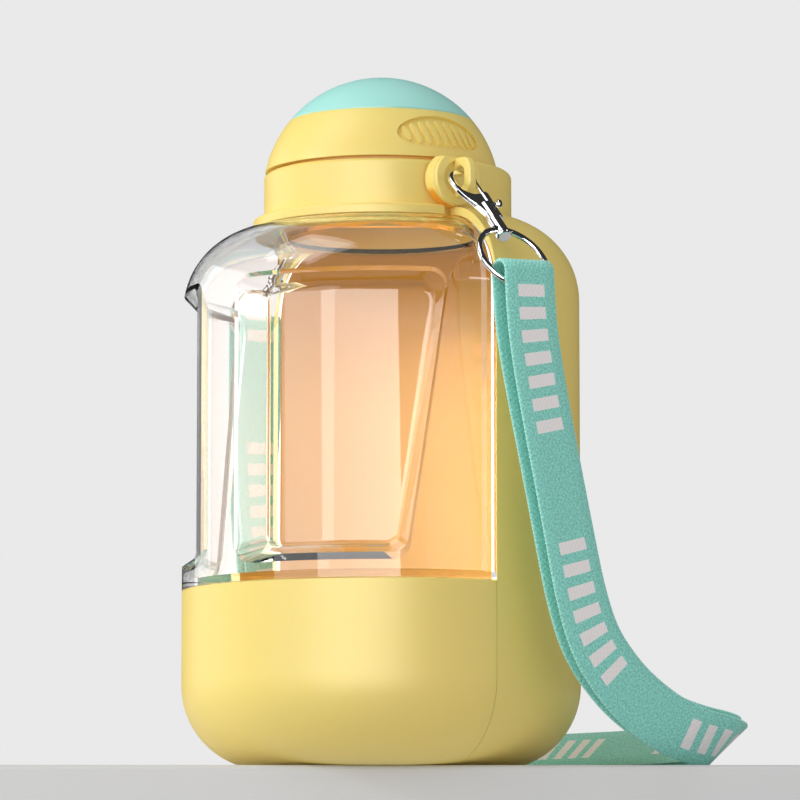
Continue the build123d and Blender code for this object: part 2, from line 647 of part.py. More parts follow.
def arm_outline():
    """The outline of the hook's arm and plate, from the tip over the loop down to the body."""
    inner_tip, outer_tip = BOLT_T - TIP_WIDE / 2, BOLT_T + TIP_WIDE / 2
    turn_in, turn_out = TIP_ROUND - TIP_WIDE, TIP_ROUND
    left_out = ARM_TURN_T - ARM_TURN_R
    left_in = left_out + ARM_WIDE
    centre = left_out + ARM_SWEEP_R

    def sweep_t(radius, s):
        return centre - math.sqrt(radius**2 - (s - ARM_TURN_S) ** 2)

    top_out, top_in = ARM_TOP, ARM_TOP + ARM_WIDE
    inner_r = ARM_SWEEP_R - ARM_WIDE
    join_s = BODY_S - BODY_DIP
    body_edge = BOLT_T + HOUSING_R
    half_s = (ARM_TURN_S + ARM_END_S) / 2
    near_s = (ARM_TURN_S + join_s) / 2
    k = math.sqrt(0.5)
    outer = [
        Line((TIP_S, outer_tip), (top_out + turn_out, outer_tip)),
        ThreePointArc((top_out + turn_out, outer_tip),
                      (top_out + turn_out * (1 - k), outer_tip - turn_out * (1 - k)),
                      (top_out, outer_tip - turn_out)),
        Line((top_out, outer_tip - turn_out), (top_out, ARM_TURN_T)),
        ThreePointArc((top_out, ARM_TURN_T), (ARM_TURN_S - ARM_TURN_R * k, ARM_TURN_T - ARM_TURN_R * k),
                      (ARM_TURN_S, left_out)),
        ThreePointArc((ARM_TURN_S, left_out), (half_s, sweep_t(ARM_SWEEP_R, half_s)),
                      (ARM_END_S, sweep_t(ARM_SWEEP_R, ARM_END_S))),
    ]
    rise = ARM_TURN_S - top_in
    run = ARM_TURN_T - left_in
    inner = [
        Line((TIP_S, inner_tip), (top_in + turn_in, inner_tip)),
        ThreePointArc((top_in + turn_in, inner_tip),
                      (top_in + turn_in * (1 - k), inner_tip - turn_in * (1 - k)),
                      (top_in, inner_tip - turn_in)),
        Line((top_in, inner_tip - turn_in), (top_in, ARM_TURN_T)),
        ThreePointArc((top_in, ARM_TURN_T), (ARM_TURN_S - rise * k, ARM_TURN_T - run * k),
                      (ARM_TURN_S, left_in)),
        ThreePointArc((ARM_TURN_S, left_in), (near_s, sweep_t(inner_r, near_s)),
                      (join_s, sweep_t(inner_r, join_s))),
        ThreePointArc((join_s, sweep_t(inner_r, join_s)), (BODY_S + BODY_DIP / 2, -BARREL_R - BODY_DIP),
                      (BODY_S + BODY_DIP, -BODY_DIP)),
        Line((BODY_S + BODY_DIP, -BODY_DIP), (BODY_S, body_edge)),
    ]
    end = outer[-1] @ 1
    rest = Polyline(inner[-1] @ 1, (BODY_END - BARREL_R, body_edge - SEAM), (BODY_END - SEAM, BARREL_T),
                    (BODY_END - BARREL_R, BARREL_T - BARREL_R + SEAM), end)
    return make_face([Line((TIP_S, inner_tip), (TIP_S, outer_tip)), *outer, *inner, *rest.edges()])


def on_arm(edge):
    """Whether an edge of the hook's plate is on the curved arm, clear of tip and body."""
    return edge.center().X < BODY_S + BODY_DIP and edge.center().Y < 0


def make_hook_frame():
    """Curved arm and body of the snap hook, with the bolt's bore and the knob's slot."""
    plate = extrude(arm_outline(), ARM_THICK / 2, both=True)
    for face in (-1, 0):
        arm_edges = plate.faces().sort_by(Axis.Z)[face].edges().filter_by(on_arm)
        plate = fillet(arm_edges, ARM_ROUND)
    along = Rot(0, 90, 0)
    barrel = Pos((BARREL_S + BODY_END) / 2, BARREL_T, 0) * along * Cylinder(BARREL_R, BODY_END - BARREL_S)
    barrel = fillet(barrel.edges().group_by(Axis.X)[0], ARM_ROUND)
    housing_end = BOLT_BORE_END + BOLT_R
    housing = Pos((BODY_S + housing_end) / 2, BOLT_T, 0) * along * Cylinder(HOUSING_R, housing_end - BODY_S)
    housing = fillet(housing.edges().filter_by(GeomType.CIRCLE), ARM_ROUND)
    body = plate + barrel + housing
    bore_long = BOLT_BORE_END - BODY_S + 2 * BOLT_R
    bore = Pos(BOLT_BORE_END - bore_long / 2, BOLT_T, 0) * along
    body -= bore * Cylinder(BOLT_R + SHAFT_FIT, bore_long)
    slot_end = KNOB_S + BOLT_TRAVEL + KNOB_STEM_R + 2 * SHAFT_FIT
    slot_start = KNOB_S - KNOB_STEM_R - 2 * SHAFT_FIT
    slot = Box(slot_end - slot_start, 2 * HOUSING_R, 2 * (KNOB_STEM_R + SHAFT_FIT))
    body -= Pos((slot_start + slot_end) / 2, BOLT_T + HOUSING_R, 0) * slot
    stem = Pos(BODY_END, 0, 0) * along * Cylinder(SWIVEL_STEM_R + SHAFT_FIT, 2 * SWIVEL_STEM)
    return hook_plane() * (body - stem)


def make_hook_bolt():
    """The sliding gate with its thumb knob."""
    rod_long = BOLT_END - BOLT_TOP
    rod = Pos((BOLT_TOP + BOLT_END) / 2, BOLT_T, 0) * Rot(0, 90, 0) * Cylinder(BOLT_R, rod_long)
    rod = chamfer(rod.edges().group_by(Axis.X)[0], BOLT_R / 3)
    stem = Pos(KNOB_S, (BOLT_T + KNOB_REACH) / 2, 0) * Rot(90, 0, 0) * Cylinder(KNOB_STEM_R, KNOB_REACH - BOLT_T)
    head = Pos(KNOB_S, KNOB_REACH, 0) * Rot(90, 0, 0) * Cylinder(KNOB_R, KNOB_HEAD)
    return hook_plane() * (rod + stem + fillet(head.edges(), KNOB_HEAD / 4))


def make_bolt_spring():
    spring = coil(BOLT_R - BOLT_SPRING_WIRE, BOLT_SPRING_WIRE, BOLT_SPRING_TURNS,
                  BOLT_END, BOLT_BORE_END)
    return hook_plane() * Pos(0, BOLT_T, 0) * Rot(0, 90, 0) * spring


def make_swivel():
    """The turning post at the hook's foot, drilled for the ring, with a domed head."""
    ring_s = hook_length()
    start = BODY_END + 2 * SHAFT_FIT
    end = ring_s + RING_HOLE + SWIVEL_SKIN
    stem = Pos(start, 0, 0) * Rot(0, 90, 0) * Cylinder(SWIVEL_STEM_R, 2 * (SWIVEL_STEM - SEAM))
    post = Pos((start + end) / 2, 0, 0) * Rot(0, 90, 0) * Cylinder(SWIVEL_R, end - start)
    head = Pos(end + SWIVEL_HEAD / 2, 0, 0) * Rot(0, 90, 0) * Cylinder(SWIVEL_HEAD_R, SWIVEL_HEAD)
    head = fillet(head.edges().group_by(Axis.X)[-1], 0.7 * SWIVEL_HEAD)
    swivel = hook_plane() * (stem + post + head)
    top = ring_top()
    drill = Pos(*top) * Rot(90, 0, 0) * Cylinder(RING_HOLE, 4 * SWIVEL_R)
    return swivel - drill


def make_ring():
    plane = Plane(origin=RING_AT, x_dir=(0, 1, 0), z_dir=Vector(0, 1, 0).cross(ring_way()))
    return plane * Torus(RING_MEAN_R, RING_WIRE)


def rounded_route(rows):
    """The strap's middle line: straight runs joined by tangent arcs, as stations of
    (place, way along, way across, half gap)."""
    places = [Vector(*row[0]) for row in rows]
    across = [Vector(*row[1]).normalized() for row in rows]
    gaps = [row[2] for row in rows]
    stations = [(places[0], (places[1] - places[0]).normalized(), across[0], gaps[0])]
    radii = []
    for k in range(1, len(rows) - 1):
        before, after = places[k] - places[k - 1], places[k + 1] - places[k]
        way_in, way_out = before.normalized(), after.normalized()
        turn = math.radians(way_in.get_angle(way_out))
        cut = ARC_SHARE * min(before.length, after.length)
        radius = cut / math.tan(turn / 2)
        radii.append(round(radius, 1))
        start = places[k] - way_in * cut
        inward = (way_out - way_in * way_in.dot(way_out)).normalized()
        for step in range(ARC_STEPS + 1):
            a = turn * step / ARC_STEPS
            place = start + way_in * (radius * math.sin(a)) + inward * (radius * (1 - math.cos(a)))
            way = way_in * math.cos(a) + inward * math.sin(a)
            stations.append((place, way, across[k], gaps[k]))
    stations.append((places[-1], (places[-1] - places[-2]).normalized(), across[-1], gaps[-1]))
    print("strap arcs, radii in mm:", radii)
    return blended(stations)


def blended(stations):
    """The stations with their width and gap eased along the line, the width square to it."""
    for _ in range(4):
        eased = [stations[0]]
        for before, here, after in zip(stations, stations[1:], stations[2:]):
            across = before[2] + here[2] * 2 + after[2]
            gap = (before[3] + 2 * here[3] + after[3]) / 4
            eased.append((here[0], here[1], across.normalized(), gap))
        stations = eased + [stations[-1]]
    squared = []
    for place, way, across, gap in stations:
        across = (across - way * across.dot(way)).normalized()
        squared.append((place, way, across, gap))
    return squared


def section(place, across, through):
    """One cross-section of the webbing."""
    w, t = across * (WEB_WIDE / 2), through * (WEB_THICK / 2)
    return Wire.make_polygon([place - w - t, place + w - t, place + w + t, place - w + t], close=True)


def layer_sections(stations, side):
    wires = []
    for place, way, across, gap in stations:
        out = way.cross(across).normalized()
        wires.append(section(place + out * (side * gap), across, out * side))
    return wires


def fold_sections(station, start):
    """The half round at an end of the loop, from the inner layer over to the outer one."""
    place, way, across, gap = station
    out = way.cross(across).normalized()
    past = way * (-1 if start else 1)
    wires = []
    for step in range(FOLD_STEPS + 1):
        a = math.pi * step / FOLD_STEPS
        radial = out * -math.cos(a) + past * math.sin(a)
        wires.append(section(place + radial * gap, across, radial))
    return wires


def strap_length(stations):
    return sum((b[0] - a[0]).length for a, b in zip(stations, stations[1:]))


def make_strap():
    stations = rounded_route(STRAP_ROUTE)
    inner = Solid.make_loft(layer_sections(stations, -1), ruled=True)
    near, far = fold_sections(stations[0], True), fold_sections(stations[-1], False)
    run = layer_sections(stations, 1)
    outer = Solid.make_loft(near[:-1] + run + far[::-1][1:], ruled=True)
    length = strap_length(stations)
    print(f"strap middle line {length:.0f} mm, ring to ring; each layer {WEB_WIDE} x {WEB_THICK} mm")
    area = WEB_WIDE * WEB_THICK
    print(f"strap volume {inner.volume + outer.volume:.0f}, section x length {2 * area * length:.0f} mm3")
    return outer, inner


def build():
    outer_run, inner_run = make_strap()
    lone = {
        "tank": make_tank(),
        "base_cup": make_base_cup(),
        "base_seal": make_base_seal(),
        "trough": make_trough(),
        "neck_collar": make_collar(),
        "dome_ring": make_dome_ring(),
        "lid_plug": make_lid_plug(),
        "lid_seal": make_lid_seal(),
        "neck_gasket": make_neck_gasket(),
        "outlet_cap": make_outlet_cap(),
        "valve_stem": make_valve_stem(),
        "valve_washer": make_valve_washer(),
        "return_spring": make_return_spring(),
        "strap_outer_run": outer_run,
        "strap_inner_run": inner_run,
    }
    paired = {
        "pivot_lug": make_lug(),
        "hook_frame": make_hook_frame(),
        "hook_bolt": make_hook_bolt(),
        "bolt_spring": make_bolt_spring(),
        "hook_swivel": make_swivel(),
        "strap_ring": make_ring(),
    }
    nodes = dict(lone)
    for name, solid in paired.items():
        nodes[name + "_right"] = solid
        nodes[name + "_left"] = mirror(solid, about=Plane.YZ)
    return nodes


os.makedirs("parts", exist_ok=True)
for node, solid in build().items():
    export_step(solid, f"parts/{node}.step")
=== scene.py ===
# %% [markdown]
# # A pet travel bottle, dressed for its portrait
# The solids of the bottle come from the CAD model, packed as one fixed frame. This script never moves
# or resizes them. It gives them their finishes, makes the cloth strap as cloth, and sets up a small
# studio round them. Everything is in metres, with Z up and the bottle standing on Z = 0.

import math

import bmesh
import bpy
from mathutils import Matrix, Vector


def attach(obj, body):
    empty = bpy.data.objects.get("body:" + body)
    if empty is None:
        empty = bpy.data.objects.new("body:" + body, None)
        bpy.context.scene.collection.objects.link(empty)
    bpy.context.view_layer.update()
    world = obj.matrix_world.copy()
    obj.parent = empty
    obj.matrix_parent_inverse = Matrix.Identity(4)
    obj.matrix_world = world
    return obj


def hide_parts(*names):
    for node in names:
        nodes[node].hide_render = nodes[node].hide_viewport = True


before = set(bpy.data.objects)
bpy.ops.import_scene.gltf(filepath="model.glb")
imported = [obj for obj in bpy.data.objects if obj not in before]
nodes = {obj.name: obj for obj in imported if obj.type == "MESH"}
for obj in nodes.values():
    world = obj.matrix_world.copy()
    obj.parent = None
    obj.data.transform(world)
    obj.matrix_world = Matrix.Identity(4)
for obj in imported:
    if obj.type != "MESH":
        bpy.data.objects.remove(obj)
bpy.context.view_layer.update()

# %% [markdown]
# ## The camera
# The photograph was taken from far away with a long lens, so the bottle's sides hardly converge. The
# camera stands a little below the tabletop and looks slightly up, which is why the front edge of the
# slab shows and its top doesn't. A long lens from the same spot gives the same perspective.

# %% Camera
VIEW_TURN = math.radians(56.0)
CAMERA_DISTANCE = 1.4334
CAMERA_HEIGHT = -0.05636
CAMERA_PITCH = 0.116648
CAMERA_YAW = 0.003949
CAMERA_LENS = 214.6
CAMERA_SENSOR = 36.0
CAMERA_FAR = 50.0

to_right = Vector((math.cos(VIEW_TURN), math.sin(VIEW_TURN), 0))
to_back = Vector((-math.sin(VIEW_TURN), math.cos(VIEW_TURN), 0))
up = Vector((0, 0, 1))
look = (to_right * math.sin(CAMERA_YAW) + to_back * math.cos(CAMERA_YAW)) * math.cos(CAMERA_PITCH)
look += up * math.sin(CAMERA_PITCH)

camera = bpy.data.objects.new("camera", bpy.data.cameras.new("camera"))
bpy.context.scene.collection.objects.link(camera)
camera.location = to_back * -CAMERA_DISTANCE + up * CAMERA_HEIGHT
camera.rotation_euler = look.to_track_quat("-Z", "Y").to_euler()
camera.data.lens = CAMERA_LENS
camera.data.sensor_width = CAMERA_SENSOR
camera.data.clip_end = CAMERA_FAR
bpy.context.scene.camera = camera
print("camera at", [round(v, 3) for v in camera.location])

# %% [markdown]
# ## The strap
# The strap is one band of woven webbing, sewn into a flat loop and threaded through the two rings, so
# it lies double. It hangs beside the bottle, folds over on the table and runs round behind. A band is
# awkward to bend with a simulation, because it must not stretch. Here its middle line is a smooth
# spline through the same points as the CAD solid. Two more splines with the same number of points
# carry the way its width lies and how far its two layers stand apart, so all three can be read at the
# same places.

# %% Route of the strap: place, way of its width, half the gap between its layers
WEB_WIDE = 0.0174
WEB_THICK = 0.0012
STRAP_ROUTE = [
    ((0.0732, 0.0003, 0.1419), (0.0, 1.0, 0.0), 0.00325),
    ((0.0734, 0.0007, 0.1305), (0.0, 1.0, 0.0), 0.0031),
    ((0.0737, 0.0024, 0.1182), (0.0, 1.0, 0.04), 0.0029),
    ((0.0738, 0.0053, 0.1043), (0.0, 0.99, 0.1), 0.0027),
    ((0.074, 0.0084, 0.0904), (0.0, 0.98, 0.16), 0.0026),
    ((0.0739, 0.0117, 0.0766), (0.0, 0.97, 0.2), 0.0026),
    ((0.0737, 0.0151, 0.0627), (0.02, 0.96, 0.24), 0.0026),
    ((0.0733, 0.0187, 0.0489), (0.05, 0.94, 0.3), 0.0026),
    ((0.0725, 0.0244, 0.0352), (0.1, 0.86, 0.45), 0.0026),
    ((0.0715, 0.0338, 0.0251), (0.15, 0.76, 0.6), 0.0025),
    ((0.0706, 0.0429, 0.0184), (0.2, 0.7, 0.66), 0.0023),
    ((0.0698, 0.0549, 0.0122), (0.3, 0.64, 0.68), 0.002),
    ((0.0698, 0.066, 0.0092), (0.36, 0.6, 0.68), 0.0017),
    ((0.068, 0.0775, 0.0082), (0.3, 0.64, 0.66), 0.0014),
    ((0.058, 0.084, 0.0076), (0.1, 0.74, 0.645), 0.0012),
    ((0.042, 0.0856, 0.0074), (0.0, 0.766, 0.643), 0.0011),
    ((0.02, 0.0864, 0.0074), (0.0, 0.766, 0.643), 0.0011),
    ((-0.006, 0.086, 0.0074), (0.0, 0.766, 0.643), 0.0011),
    ((-0.03, 0.0826, 0.0074), (-0.2, 0.74, 0.643), 0.0011),
    ((-0.05, 0.074, 0.0074), (-0.4, 0.64, 0.65), 0.0011),
    ((-0.065, 0.06, 0.008), (-0.6, 0.45, 0.66), 0.0012),
    ((-0.0724, 0.042, 0.0108), (-0.55, 0.4, 0.73), 0.0015),
    ((-0.0746, 0.024, 0.0196), (-0.3, 0.65, 0.69), 0.0019),
    ((-0.075, 0.012, 0.0362), (-0.08, 0.92, 0.38), 0.0024),
    ((-0.0746, 0.0055, 0.058), (0.0, 0.98, 0.18), 0.0027),
    ((-0.0742, 0.002, 0.086), (0.0, 1.0, 0.05), 0.0029),
    ((-0.0739, 0.0004, 0.114), (0.0, 1.0, 0.0), 0.0031),
    ((-0.0732, 0.0003, 0.1419), (0.0, 1.0, 0.0), 0.00325),
]
print("route:", len(STRAP_ROUTE), "places,", WEB_WIDE, "m wide webbing")

# %% [markdown]
# A smooth NURBS curve runs close to its control points without swinging past them, as webbing does. A
# curve object can be turned into a mesh of plain points, which saves writing out the spline's sums.

# %% Smooth lines through the route
SPLINE_STEPS = 10
SPLINE_ORDER = 3


def spline_points(places):
    """Places along a smooth NURBS spline that has the given places as its control points."""
    data = bpy.data.curves.new("guide", "CURVE")
    data.dimensions = "3D"
    spline = data.splines.new("NURBS")
    spline.points.add(len(places) - 1)
    for point, place in zip(spline.points, places):
        point.co = (*place, 1.0)
    spline.use_endpoint_u = True
    spline.order_u = SPLINE_ORDER
    spline.resolution_u = SPLINE_STEPS
    guide = bpy.data.objects.new("guide", data)
    mesh = bpy.data.meshes.new_from_object(guide)
    points = [v.co.copy() for v in mesh.vertices]
    bpy.data.objects.remove(guide)
    bpy.data.meshes.remove(mesh)
    return points


middle = spline_points([Vector(p) for p, w, g in STRAP_ROUTE])
edge = spline_points([Vector(p) + Vector(w).normalized() * WEB_WIDE for p, w, g in STRAP_ROUTE])
opened = spline_points([Vector(p) + up * g for p, w, g in STRAP_ROUTE])

# %% [markdown]
# The band is made as one closed loop of cross-sections: down the outer layer, round the far ring, back
# along the inner layer and round the near ring. A curve with a flat bevel would be quicker, but it
# twists where the band folds over. Here every station knows its own way across the band.

# %% Stations round the closed band
FOLD_STEPS = 12


def band_stations():
    """Every station of the closed band: its middle, the way across it and the way out of it."""
    outer, inner = [], []
    last = len(middle) - 1
    for k, place in enumerate(middle):
        way = (middle[min(k + 1, last)] - middle[max(k - 1, 0)]).normalized()
        across = edge[k] - place
        across = (across - way * across.dot(way)).normalized()
        out = way.cross(across)
        gap = (opened[k] - place).z
        outer.append((place + out * gap, across, out))
        inner.append((place - out * gap, across, -out))
    return outer + fold(last, 1) + inner[::-1] + fold(0, -1)


def fold(k, ahead):
    """The stations of the half round where the band turns over a ring."""
    neighbour = middle[k - ahead]
    past = (middle[k] - neighbour).normalized()
    across = edge[k] - middle[k]
    across = (across - past * across.dot(past)).normalized()
    out = (past * ahead).cross(across) * ahead
    gap = (opened[k] - middle[k]).z
    stations = []
    for step in range(1, FOLD_STEPS):
        a = math.pi * step / FOLD_STEPS
        radial = out * math.cos(a) + past * math.sin(a)
        stations.append((middle[k] + radial * gap, across, radial))
    return stations


stations = band_stations()
print("stations round the loop:", len(stations))

# %% [markdown]
# The webbing's section is a thin slab with eased edges. Its UV map is in metres, along the band and
# across it, so the weave keeps its true size everywhere. The underside's map is shifted a metre aside,
# and with that a pattern can be kept to the face side.

# %% The band's section and its mesh
FACE_SHIFT = 1.0
SHARP_OVER = math.radians(50)


def web_section():
    """Corners of the webbing's section: across, out, and the pattern's place across."""
    w, t, r = WEB_WIDE / 2, WEB_THICK / 2, WEB_THICK / 3
    face = [(-w + r, t), (-w / 2, t), (0, t), (w / 2, t), (w - r, t)]
    back = [(x, -t) for x, _ in face[::-1]]
    return face + [(w, t / 3), (w, -t / 3)] + back + [(-w, -t / 3), (-w, t / 3)]


def make_band(name):
    """The band's mesh: one ring of corners for each station, joined all the way round."""
    section = web_section()
    count, sides = len(stations), len(section)
    along = [0.0]
    for k in range(count):
        along.append(along[-1] + (stations[(k + 1) % count][0] - stations[k][0]).length)
    verts = [c + across * x + out * y for c, across, out in stations for x, y in section]
    faces, uvs = [], []
    for k in range(count):
        ahead = (k + 1) % count
        for j in range(sides):
            beside = (j + 1) % sides
            faces.append((k * sides + j, ahead * sides + j, ahead * sides + beside, k * sides + beside))
            shift = 0.0 if section[j][1] > 0 and section[beside][1] > 0 else FACE_SHIFT
            v0, v1 = section[j][0] + shift, section[beside][0] + shift
            uvs += [(along[k], v0), (along[k + 1], v0), (along[k + 1], v1), (along[k], v1)]
    mesh = bpy.data.meshes.new(name)
    mesh.from_pydata(verts, [], faces)
    layer = mesh.uv_layers.new(name="web")
    for loop, uv in zip(layer.data, uvs):
        loop.uv = uv
    mesh.polygons.foreach_set("use_smooth", [True] * len(faces))
    mesh.update()
    obj = bpy.data.objects.new(name, mesh)
    bpy.context.scene.collection.objects.link(obj)
    return obj


def face_out(obj):
    """Turns the faces of a closed mesh to point outwards."""
    work = bmesh.new()
    work.from_mesh(obj.data)
    bmesh.ops.recalc_face_normals(work, faces=work.faces)
    work.to_mesh(obj.data)
    work.free()


strap = make_band("strap_webbing")
face_out(strap)
strap.data.set_sharp_from_angle(angle=SHARP_OVER)
print("band:", len(strap.data.vertices), "corners")

# %% [markdown]
# ## Colours
# Colours are given as linear values, as the shader wants them, so they read darker than they look. The
# yellow and the mint are the pigments of the plastic. The ambers are painted light: the same yellow,
# coloured as it looks where light comes through it and bounces inside.

# %% Colours
YELLOW = (0.92, 0.72, 0.205)
# Painted light: these two ambers stand in for light coming through the yellow wall and bouncing inside.
PAINTED_GLOW_AMBER = (0.90, 0.45, 0.075)
PAINTED_DEEP_GLOW_AMBER = (0.68, 0.29, 0.02)
# Painted light: the plug's amber stands in for yellow light bouncing round it.
PLUG_PAINTED_BOUNCE_AMBER = (0.75, 0.33, 0.02)
MINT = (0.40, 0.80, 0.73)
WEB_MINT = (0.25, 0.70, 0.60)
PRINT_PALE = (0.93, 0.88, 0.87)
CLEAR = (1.0, 1.0, 1.0)
print("yellow plastic", YELLOW, "mint plastic", MINT)

# %% [markdown]
# ## Helpers for materials
# Each finish is a Principled shader. Constants go on the shader's own sockets, and nodes carry only
# what changes over a surface. A few helpers keep the trees short.

# %% Helpers for materials
def new_group(name, inputs, outputs):
    """An empty node group with named sockets: (name, kind, starting value)."""
    group = bpy.data.node_groups.new(name, "ShaderNodeTree")
    for label, kind, value in inputs:
        socket = group.interface.new_socket(label, in_out="INPUT", socket_type=kind)
        if value is not None:
            socket.default_value = value
    for label, kind in outputs:
        group.interface.new_socket(label, in_out="OUTPUT", socket_type=kind)
    return group, group.nodes.new("NodeGroupInput"), group.nodes.new("NodeGroupOutput")


def new_material(name, colour, **sockets):
    """A Principled material with constants set on the shader's own sockets."""
    material = bpy.data.materials.new(name)
    material.use_nodes = True
    shader = material.node_tree.nodes["Principled BSDF"]
    shader.inputs["Base Color"].default_value = (*colour, 1.0)
    for label, value in sockets.items():
        shader.inputs[label.replace("_", " ")].default_value = value
    return material, shader


def maths(tree, kind, first, second=None):
    """One math node; each input is a number or a socket. It gives back the output socket."""
    node = tree.nodes.new("ShaderNodeMath")
    node.operation = kind
    for socket, value in zip(node.inputs, (first, second)):
        if isinstance(value, (int, float)):
            socket.default_value = value
        elif value is not None:
            tree.links.new(value, socket)
    return node.outputs["Value"]


def blend_colour(tree, share, low, high):
    """Mixes two colours by a share; each is a colour or a socket."""
    node = tree.nodes.new("ShaderNodeMix")
    node.data_type = "RGBA"
    tree.links.new(share, node.inputs["Factor"])
    for label, value in (("A", low), ("B", high)):
        if isinstance(value, tuple):
            node.inputs[label].default_value = (*value, 1.0)
        else:
            tree.links.new(value, node.inputs[label])
    return node.outputs["Result"]


def wear(node, material):
    """Gives a CAD node one material in place of those it was packed with."""
    data = nodes[node].data
    data.materials.clear()
    data.materials.append(material)


print("helpers for", len(nodes), "nodes")

# %% [markdown]
# ## Orange-peel grain
# Plastic straight from a steel mould is never perfectly even: a fine orange-peel texture breaks up its
# highlights. The yellow and the mint parts come from the same kind of mould, so that effect is a node
# group with its own sizes, used in both materials.

# %% Grain of moulded plastic
DRIFT_SCALE = 25.0
PEEL_HIGH = 0.0002


def moulded_grain():
    """A rough gloss that drifts over the piece, and a normal with fine bumps."""
    group, given, result = new_group(
        "moulded_grain",
        [("Scale", "NodeSocketFloat", 900.0), ("Depth", "NodeSocketFloat", 0.05),
         ("Gloss Low", "NodeSocketFloat", 0.3), ("Gloss High", "NodeSocketFloat", 0.4)],
        [("Roughness", "NodeSocketFloat"), ("Normal", "NodeSocketVector")],
    )
    add, join = group.nodes.new, group.links.new
    place = add("ShaderNodeTexCoord")
    fine, broad = add("ShaderNodeTexNoise"), add("ShaderNodeTexNoise")
    broad.inputs["Scale"].default_value = DRIFT_SCALE
    join(place.outputs["Object"], fine.inputs["Vector"])
    join(place.outputs["Object"], broad.inputs["Vector"])
    join(given.outputs["Scale"], fine.inputs["Scale"])
    spread = add("ShaderNodeMapRange")
    join(broad.outputs["Fac"], spread.inputs["Value"])
    join(given.outputs["Gloss Low"], spread.inputs["To Min"])
    join(given.outputs["Gloss High"], spread.inputs["To Max"])
    bump = add("ShaderNodeBump")
    bump.inputs["Distance"].default_value = PEEL_HIGH
    join(given.outputs["Depth"], bump.inputs["Strength"])
    join(fine.outputs["Fac"], bump.inputs["Height"])
    join(spread.outputs["Result"], result.inputs["Roughness"])
    join(bump.outputs["Normal"], result.inputs["Normal"])
    return group


GRAIN = moulded_grain()
print("shared effect:", GRAIN.name)

# %% [markdown]
# ## Yellow and mint plastic
# Both are satin, slightly see-through at thin edges. A little subsurface scattering softens the shading
# the way pigmented polypropylene does, and keeps the shadows warm. The plug inside the lid is seen only
# through the neck of the tank, lit by the yellow round it. That bounced light is painted on the plug as
# an amber colour and a weak glow.

# %% Plastic finishes
PLASTIC_IOR = 1.5
SCATTER_SHARE, SCATTER_DEEP = 0.15, 0.003
YELLOW_SCATTER, MINT_SCATTER = (1.0, 0.6, 0.2), (0.5, 1.0, 0.9)
GLOSS_LOW, GLOSS_HIGH = 0.34, 0.42
PEEL_SHARE = 0.04
PLUG_ROUGH, PLUG_PAINTED_GLOW = 0.4, 0.8


def satin_plastic(name, colour, scatter):
    """Pigmented satin plastic with the mould's grain on it."""
    material, shader = new_material(name, colour, IOR=PLASTIC_IOR, Subsurface_Weight=SCATTER_SHARE,
                                    Subsurface_Scale=SCATTER_DEEP)
    shader.inputs["Subsurface Radius"].default_value = scatter
    grain = material.node_tree.nodes.new("ShaderNodeGroup")
    grain.node_tree = GRAIN
    for label, value in (("Gloss Low", GLOSS_LOW), ("Gloss High", GLOSS_HIGH), ("Depth", PEEL_SHARE)):
        grain.inputs[label].default_value = value
    for label in ("Roughness", "Normal"):
        material.node_tree.links.new(grain.outputs[label], shader.inputs[label])
    return material, shader


yellow, _ = satin_plastic("butter_yellow", YELLOW, YELLOW_SCATTER)
mint, _ = satin_plastic("mint_green", MINT, MINT_SCATTER)
for node in ("base_cup", "neck_collar", "dome_ring", "pivot_lug_right", "pivot_lug_left"):
    wear(node, yellow)
for node in ("outlet_cap", "valve_stem"):
    wear(node, mint)
# Painted light: the plug's amber colour and its weak glow stand in for the yellow light round it.
plug_painted_bounce_glow, shader = new_material("plug_painted_bounce_glow", PLUG_PAINTED_BOUNCE_AMBER, Roughness=PLUG_ROUGH, IOR=PLASTIC_IOR,
                                  Emission_Strength=PLUG_PAINTED_GLOW)
shader.inputs["Emission Color"].default_value = (*PLUG_PAINTED_BOUNCE_AMBER, 1.0)
wear("lid_plug", plug_painted_bounce_glow)
print("plastic on", sum(1 for o in nodes.values() if o.data.materials[0] in (yellow, mint)), "nodes")

# %% [markdown]
# ## Painted glow inside the trough
# The trough is thin and lets light through. That light, and the light bouncing inside, is painted on its
# hollow side: a deep amber colour where the tank lies against it, deepest up by the neck. The effect is a
# mask: a face belongs to the hollow side when it looks towards the middle of the bottle. A second value
# rises towards the neck. The light that comes through the wall is painted as a weak glow of the same
# colour.

# %% Painted amber glow on the hollow side
HOLLOW_CENTRE = (0.0, 0.0, 0.105)
PAINTED_GLOW_LOW, PAINTED_GLOW_HIGH = 0.112, 0.162
FACING_START, FACING_FULL = -0.2, -0.35
PAINTED_GLOW_SHARE = 0.18


